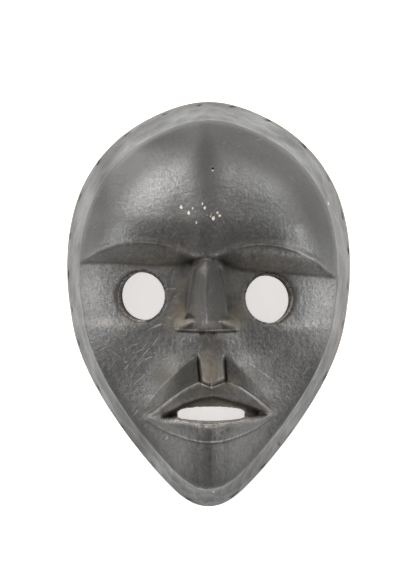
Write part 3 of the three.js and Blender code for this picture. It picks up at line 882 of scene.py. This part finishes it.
def wear_masks(piece):
    """Where edges are worn and painted light, corners hold dirt and painted shade, and wood is
    warm, bare, tooled or flecked.
    """
    mesh = piece.data
    place, normal, bend, wide = surface(mesh)
    x, y, z = place.T
    crest = to_crest(x, y)
    front = (z > 2) & (normal[:, 2] > -0.2)
    hollow = (normal[:, 2] < -0.25) | ((z < 30) & (crest < 1.02))
    wall = front & (crest > 1.0) & ~hollow
    inner = ease((0.97 - crest) / 0.05)
    # Lines painted light, as painted highlights and scratches, and lines painted dark, as painted
    # shade.
    for name, (away, strength) in zip(("rubbed", "shade_and_dirt_lines"), lit_and_shaded_lines(x, y)):
        store(mesh, name + "_away", 0.5 + away / LINE_SCALE)
        store(mesh, name + "_share", strength * inner * (~hollow))
    store(mesh, "wear_and_painted_light", worn_and_lit_mask(x, y, bend, inner, wall) * (~hollow))
    # Dirt and painted shade.
    dirt_and_shade = dirt_and_shade_mask(x, y, z, wide, crest)
    store(mesh, "dirt_and_shade", dirt_and_shade * (~hollow | (dirt_and_shade > 0.8)))
    store(mesh, "scratched", 0.3 + patches(SCRATCHED, x, y))
    # Besides the single specks there are two places where the noise leaves some.
    fleck = sum(bump(x, y, (fx, fy), size) for fx, fy, size in FLECKS)
    fleck = fleck + 0.42 * bump(x, y, (0, 51), 7, 4) + 0.36 * bump(x, y, (-13, 54), 4, 3)
    store(mesh, "fleck", fleck * (~hollow) * ((crest < 1) | (z > 35.5)))
    store(mesh, "wall", ease((crest - 0.985) / 0.03) * (~hollow))
    store(mesh, "hollow", hollow.astype(float))
    warm = patches(WARM, x, y) + patches(WARM_PHILTRUM, x, y) * (normal[:, 2] > 0.3)
    store(mesh, "warm", warm * (~hollow))


def add_node(tree, kind, **settings):
    """A new node, placed in rows in the order of the making."""
    row, column = divmod(len(tree.nodes), NODES_IN_ROW)
    node = tree.nodes.new(kind)
    node.location = (220 * column, -300 * row)
    for name, value in settings.items():
        setattr(node, name, value)
    return node


def give(tree, socket, value):
    """A number or a colour for a socket, or a link to it."""
    if isinstance(value, (int, float, tuple)):
        socket.default_value = value
    else:
        tree.links.new(value, socket)


def noise_node(tree, vector, scale, detail, roughness=0.5):
    node = add_node(tree, "ShaderNodeTexNoise")
    for name, value in (("Vector", vector), ("Scale", scale), ("Detail", detail),
                        ("Roughness", roughness)):
        give(tree, node.inputs[name], value)
    return node.outputs["Fac"]


def ramp(tree, value, low, high, to_low=0.0, to_high=1.0):
    node = add_node(tree, "ShaderNodeMapRange", interpolation_type="SMOOTHSTEP")
    for name, number in (("Value", value), ("From Min", low), ("From Max", high),
                         ("To Min", to_low), ("To Max", to_high)):
        give(tree, node.inputs[name], number)
    return node.outputs["Result"]


def maths(tree, operation, a, b):
    node = add_node(tree, "ShaderNodeMath", operation=operation)
    for socket, value in zip(node.inputs, (a, b)):
        give(tree, socket, value)
    return node.outputs["Value"]


def blend(tree, share, a, b):
    node = add_node(tree, "ShaderNodeMix", data_type="RGBA")
    for name, value in (("Factor_Float", share), ("A_Color", a), ("B_Color", b)):
        give(tree, next(s for s in node.inputs if s.identifier == name), value)
    return next(s for s in node.outputs if s.identifier == "Result_Color")


def colour(values, share=1.0):
    return (*(value * share for value in values), 1.0)


def grain_group():
    """Grain, blotches and scratches of old wood, as values from 0 to 1."""
    group = bpy.data.node_groups.new("Old Wood", "ShaderNodeTree")
    sockets = [("Vector", "INPUT", "Vector"), ("Scratched", "INPUT", "Float")]
    for name in ("Grain", "Blotches", "Mottling", "Scratches", "Pores"):
        sockets.append((name, "OUTPUT", "Float"))
    for name, way, kind in sockets:
        group.interface.new_socket(name=name, in_out=way, socket_type="NodeSocket" + kind)
    start = add_node(group, "NodeGroupInput")
    end = add_node(group, "NodeGroupOutput")
    vector = start.outputs["Vector"]
    stretch = add_node(group, "ShaderNodeMapping")
    stretch.inputs["Scale"].default_value = (9.0, 1.0, 5.0)
    group.links.new(vector, stretch.inputs["Vector"])
    along_grain = stretch.outputs["Vector"]
    pores = ramp(group, noise_node(group, along_grain, 420, 3, 0.7), 0.58, 0.72)
    more = maths(group, "MULTIPLY", start.outputs["Scratched"], 0.08)
    scratches = 0.0
    for angle, scale in SCRATCH_TURNS:
        turn = add_node(group, "ShaderNodeMapping", vector_type="TEXTURE")
        turn.inputs["Rotation"].default_value = (0, 0, angle)
        turn.inputs["Scale"].default_value = (1.0, 16.0, 4.0)
        group.links.new(vector, turn.inputs["Vector"])
        lines = maths(group, "ADD", noise_node(group, turn.outputs["Vector"], scale, 2), more)
        scratches = maths(group, "MAXIMUM", ramp(group, lines, 0.71, 0.82), scratches)
    for name, value in (("Grain", noise_node(group, along_grain, 95, 6, 0.6)),
                        ("Blotches", noise_node(group, vector, 26, 5, 0.6)),
                        ("Mottling", noise_node(group, vector, 420, 4, 0.65)),
                        ("Scratches", scratches), ("Pores", pores)):
        group.links.new(value, end.inputs[name])
    return group


def wood_material(finish):
    """Dark polished wood with its worn edges and painted light, dirt and painted shade, brown
    places, white specks and bare hollow.
    """
    material = bpy.data.materials.new("Aged Wood")
    material.use_nodes = True
    tree = material.node_tree
    shader = tree.nodes["Principled BSDF"]

    def times(a, b):
        return maths(tree, "MULTIPLY", a, b)

    def plus(a, b):
        return maths(tree, "ADD", a, b)

    def most(a, b):
        return maths(tree, "MAXIMUM", a, b)

    def line(kind, near, far):
        """Lines by their distance, which is stored as 0.5 + mm / LINE_SCALE."""
        away = maths(tree, "ABSOLUTE", plus(masks[kind + "_away"], -0.5), 0.0)
        strength = ramp(tree, times(away, LINE_SCALE), near, far, 1.0, 0.0)
        return times(masks[kind + "_share"], strength)

    masks = {}
    for name in ("wear_and_painted_light", "dirt_and_shade", "wall", "hollow", "warm", "fleck", "scratched", "rubbed_away",
                 "rubbed_share", "shade_and_dirt_lines_away", "shade_and_dirt_lines_share"):
        node = add_node(tree, "ShaderNodeAttribute")
        node.attribute_name = name
        masks[name] = node.outputs["Fac"]
    coords = add_node(tree, "ShaderNodeTexCoord")
    group = add_node(tree, "ShaderNodeGroup", node_tree=grain_group())
    tree.links.new(coords.outputs["Object"], group.inputs["Vector"])
    tree.links.new(masks["scratched"], group.inputs["Scratched"])
    blotches, mottling = group.outputs["Blotches"], group.outputs["Mottling"]

    blotched = plus(times(masks["wall"], TINTS["wall_blotches"]), TINTS["blotches"])
    blotched = times(ramp(tree, blotches, 0.3, 0.7), blotched)
    mottled = times(ramp(tree, mottling, 0.32, 0.68), TINTS["mottling"])
    brown = times(masks["warm"], ramp(tree, blotches, 0.35, 0.6))
    grained = times(ramp(tree, group.outputs["Grain"], 0.35, 0.7), TINTS["grain"])
    scratched = times(group.outputs["Scratches"], TINTS["scratches"])
    # Painted shade and a little dirt along the creases.
    shade_and_dirt_lines = line("shade_and_dirt_lines", 0.25, 1.0)
    # The painted light and the rubbing are broken up where the rubbing missed.
    uneven = ramp(tree, mottling, 0.3, 0.62, 0.25, 1.0)
    rubbed = times(most(masks["wear_and_painted_light"], line("rubbed", 0.15, 0.6)), uneven)
    bare = maths(tree, "SUBTRACT", masks["hollow"], masks["dirt_and_shade"])
    speck = ramp(tree, plus(masks["fleck"], mottling), 0.92, 1.08)
    speck = times(speck, maths(tree, "GREATER_THAN", masks["fleck"], 0.05))
    # The colour, from the plain wood up to the specks of clay on it.
    base = colour(finish.wood)
    for share, layer in ((masks["wall"], colour(finish.wall)),
                         (blotched, colour(finish.wood, BLOTCH_DARKNESS)),
                         (mottled, colour(finish.worn)), (brown, colour(finish.warm)),
                         (grained, colour(finish.warm)), (scratched, colour(finish.worn)),
                         # Painted shade in creases, hollows and under edges, with dirt.
                         (most(masks["dirt_and_shade"], shade_and_dirt_lines), colour(finish.dirt_and_shade)),
                         # Painted light: edge highlights and lit places of the face, with rubbing
                         # and scratches.
                         (rubbed, colour(finish.worn)), (bare, colour(finish.inside)),
                         (speck, colour(finish.fleck))):
        base = blend(tree, share, base, layer)
    tree.links.new(base, shader.inputs["Base Color"])

    # Dirt and painted shade, brown wood and clay are dull, and the side wall is duller than the
    # face.
    dull = most(most(masks["warm"], shade_and_dirt_lines), most(masks["dirt_and_shade"], speck))
    rough = ramp(tree, blotches, 0.3, 0.7, finish.face_roughness - 0.04,
                 finish.face_roughness + 0.07)
    for mask, share in ((masks["wall"], finish.wall_roughness - finish.face_roughness),
                        (masks["dirt_and_shade"], ROUGHER["dirt_and_shade"]), (masks["hollow"], ROUGHER["hollow"]),
                        (dull, ROUGHER["dull"])):
        rough = plus(rough, times(mask, share))
    tree.links.new(rough, shader.inputs["Roughness"])
    gloss = plus(ramp(tree, dull, 0.0, 1.0, *GLOSS), times(masks["wall"], -WALL_GLOSS_LOSS))
    tree.links.new(gloss, shader.inputs["Specular IOR Level"])

    relief = 0.0
    for name, height in RELIEF.items():
        relief = plus(times(group.outputs[name], height), relief)
    raised = add_node(tree, "ShaderNodeBump")
    raised.inputs["Strength"].default_value = RELIEF_STRENGTH
    raised.inputs["Distance"].default_value = RELIEF_DEPTH
    tree.links.new(relief, raised.inputs["Height"])
    tree.links.new(raised.outputs["Normal"], shader.inputs["Normal"])
    return material


class MASK_OT_carving(bpy.types.Operator):
    """Carve the mask: its shell, its face, its hollow and its holes"""

    bl_idname = "mask.carving"
    bl_label = "Mask Carving"
    bl_options = {"REGISTER", "UNDO"}

    def execute(self, context):
        sizes = context.scene.mask_sizes
        bm = bmesh.new()
        front_surface(bm, sizes)
        back_surface(bm, sizes)
        rims = [e for e in bm.edges if e.is_boundary]
        bmesh.ops.bridge_loops(bm, edges=rims)
        bmesh.ops.recalc_face_normals(bm, faces=bm.faces)
        piece = new_object("mask_carving", bm)
        cut_holes(piece, sizes)
        wear_masks(piece)
        piece.data.transform(Matrix.Diagonal((*SCALE, 1)))
        piece.data.transform(Matrix.Translation(
            ((LOW[0] + HIGH[0]) / 2, (LOW[1] + HIGH[1]) / 2, LOW[2])))
        piece.data.shade_smooth()
        piece.data.set_sharp_from_angle(angle=math.radians(55))
        piece.data.materials.clear()
        piece.data.materials.append(wood_material(context.scene.mask_finish))
        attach(piece, "root")
        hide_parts("mask")
        return {"FINISHED"}


def floor_material(glow):
    """White paper that gives some light by itself and is clear from below."""
    material = bpy.data.materials.new("Light Table")
    material.use_nodes = True
    tree = material.node_tree
    tree.nodes.clear()
    paper = add_node(tree, "ShaderNodeBsdfDiffuse")
    paper.inputs["Color"].default_value = (0.8, 0.8, 0.8, 1)
    light = add_node(tree, "ShaderNodeEmission")
    light.inputs["Strength"].default_value = glow
    both = add_node(tree, "ShaderNodeAddShader")
    clear = add_node(tree, "ShaderNodeBsdfTransparent")
    side = add_node(tree, "ShaderNodeNewGeometry")
    pick = add_node(tree, "ShaderNodeMixShader")
    out = add_node(tree, "ShaderNodeOutputMaterial")
    tree.links.new(paper.outputs["BSDF"], both.inputs[0])
    tree.links.new(light.outputs["Emission"], both.inputs[1])
    tree.links.new(side.outputs["Backfacing"], pick.inputs["Fac"])
    tree.links.new(both.outputs["Shader"], pick.inputs[1])
    tree.links.new(clear.outputs["BSDF"], pick.inputs[2])
    tree.links.new(pick.outputs["Shader"], out.inputs["Surface"])
    return material


def softbox(name, turn, lift, width, height, power):
    """A softbox, by its angle round the mask and its angle over the table."""
    light = bpy.data.lights.new(name, "AREA")
    light.shape = "RECTANGLE"
    light.size = width
    light.size_y = height
    light.energy = power
    turn, lift = math.radians(turn), math.radians(lift)
    away = Vector((math.cos(turn), math.sin(turn), 0)) * math.cos(lift)
    away.z = math.sin(lift)
    lamp = bpy.data.objects.new(name, light)
    lamp.location = away * SOFTBOX_DISTANCE
    lamp.rotation_euler = (-away).to_track_quat("-Z", "Y").to_euler()
    bpy.context.scene.collection.objects.link(lamp)


class MASK_OT_stage(bpy.types.Operator):
    """Set the pale table, the softboxes and the camera over the mask"""

    bl_idname = "mask.stage"
    bl_label = "Stage"
    bl_options = {"REGISTER", "UNDO"}

    def execute(self, context):
        scene = context.scene
        stage = scene.mask_stage
        bm = bmesh.new()
        bmesh.ops.create_grid(bm, x_segments=1, y_segments=1, size=TABLE_HALF)
        bmesh.ops.translate(bm, verts=bm.verts, vec=(0, 0, LOW[2]))
        table = new_object("table", bm)
        table.data.materials.append(floor_material(stage.glow))
        for name, turn, lift, width, height, setting, share in SOFTBOXES:
            softbox(name, turn, lift, width, height, getattr(stage, setting) * share)
        world = bpy.data.worlds.new("Studio")
        world.use_nodes = True
        tree = world.node_tree
        tree.nodes["Background"].inputs["Color"].default_value = (1, 1, 1, 1)
        # The room is lighter overhead.
        look = add_node(tree, "ShaderNodeTexCoord")
        parts = add_node(tree, "ShaderNodeSeparateXYZ")
        tree.links.new(look.outputs["Generated"], parts.inputs["Vector"])
        light = ramp(tree, parts.outputs["Z"], 0.55, 0.98, *ROOM_LIGHT)
        tree.links.new(light, tree.nodes["Background"].inputs["Strength"])
        scene.world = world
        camera = bpy.data.cameras.new("camera")
        camera.lens = stage.lens
        camera.sensor_width = 36
        camera.sensor_fit = "AUTO"
        camera.clip_end = 20
        eye = bpy.data.objects.new("camera", camera)
        eye.location = (stage.camera_x, stage.camera_y, LOW[2] + stage.camera_height)
        scene.collection.objects.link(eye)
        scene.camera = eye
        scene.view_settings.view_transform = "Standard"
        return {"FINISHED"}


class MASK_PT_panel(bpy.types.Panel):
    """Sizes, colours and steps of the mask"""

    bl_label = "Carved Mask"
    bl_idname = "MASK_PT_panel"
    bl_space_type = "VIEW_3D"
    bl_region_type = "UI"
    bl_category = "Mask"

    def draw(self, context):
        scene = context.scene
        for title, group in (("Sizes", scene.mask_sizes), ("Finish", scene.mask_finish),
                             ("Stage", scene.mask_stage)):
            box = self.layout.box()
            box.label(text=title)
            for name in group.__annotations__:
                box.prop(group, name)
        self.layout.operator("mask.carving")
        self.layout.operator("mask.stage")


CLASSES = (MaskSizes, MaskFinish, StageSettings, MASK_OT_carving, MASK_OT_stage, MASK_PT_panel)


def register():
    for cls in CLASSES:
        bpy.utils.register_class(cls)
    bpy.types.Scene.mask_sizes = PointerProperty(type=MaskSizes)
    bpy.types.Scene.mask_finish = PointerProperty(type=MaskFinish)
    bpy.types.Scene.mask_stage = PointerProperty(type=StageSettings)


def unregister():
    del bpy.types.Scene.mask_stage
    del bpy.types.Scene.mask_finish
    del bpy.types.Scene.mask_sizes
    for cls in reversed(CLASSES):
        bpy.utils.unregister_class(cls)


def main():
    register()
    bpy.ops.mask.stage()
    bpy.ops.mask.carving()


if __name__ == "__main__":
    main()
